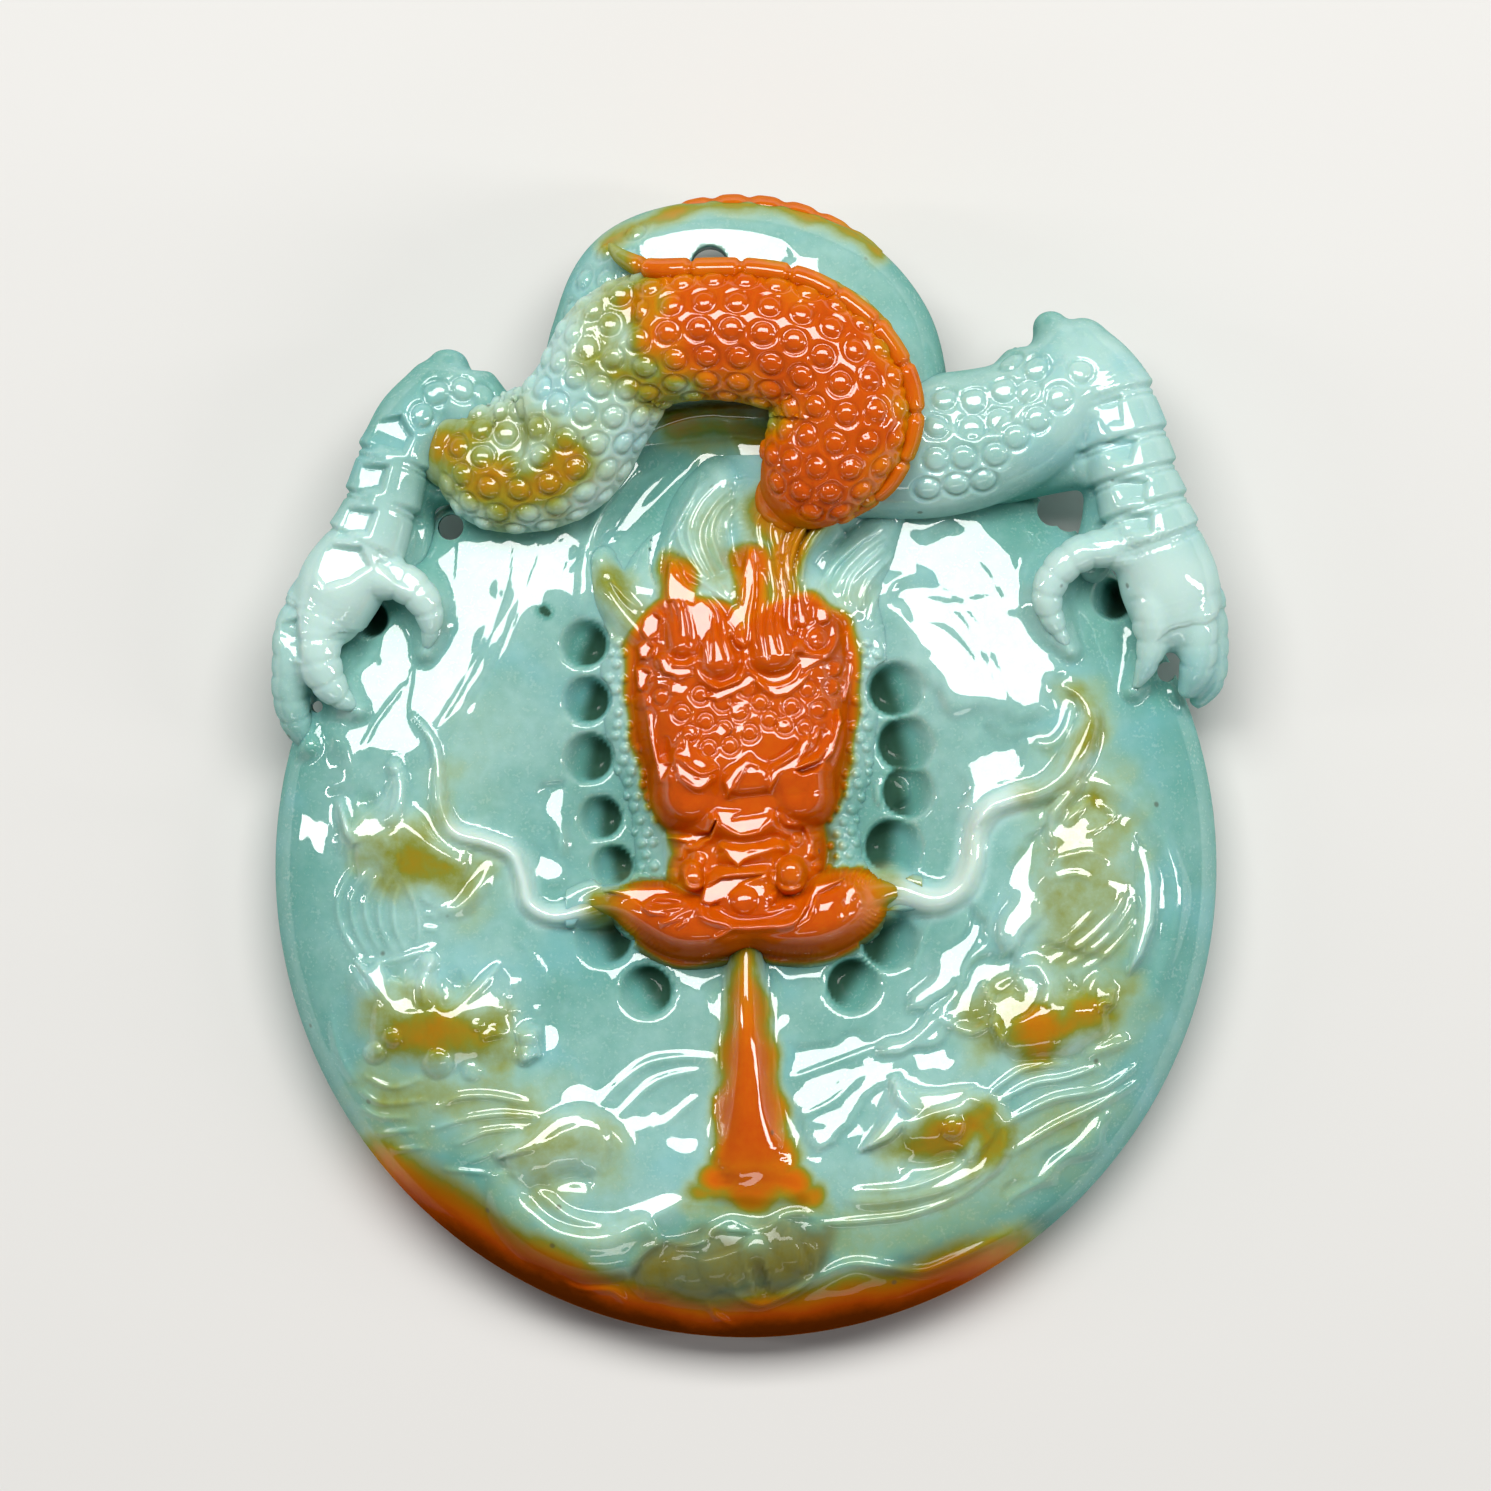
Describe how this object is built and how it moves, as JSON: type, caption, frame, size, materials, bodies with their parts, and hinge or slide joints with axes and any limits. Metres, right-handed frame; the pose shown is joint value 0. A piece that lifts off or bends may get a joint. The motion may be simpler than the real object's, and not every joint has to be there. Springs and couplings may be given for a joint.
{
  "type": "jadeite dragon plaque pendant",
  "caption": "Carved two-colour jadeite plaque pendant: a coiled dragon over a round disc of waves, with a hole for a neck cord through the arch of its back.",
  "frame": {"origin": "under the middle of the stone, on the surface it rests on with its back down", "axes": "+Z out of the carved face, +Y towards the arch that the cord goes through, +X to the right seen from the face"},
  "size_m": [0.0482, 0.0573, 0.014],
  "materials": {
    "jadeite": "high polish"
  },
  "bodies": {
    "root": {"carved_stone": "jadeite"}
  },
  "joints": []
}
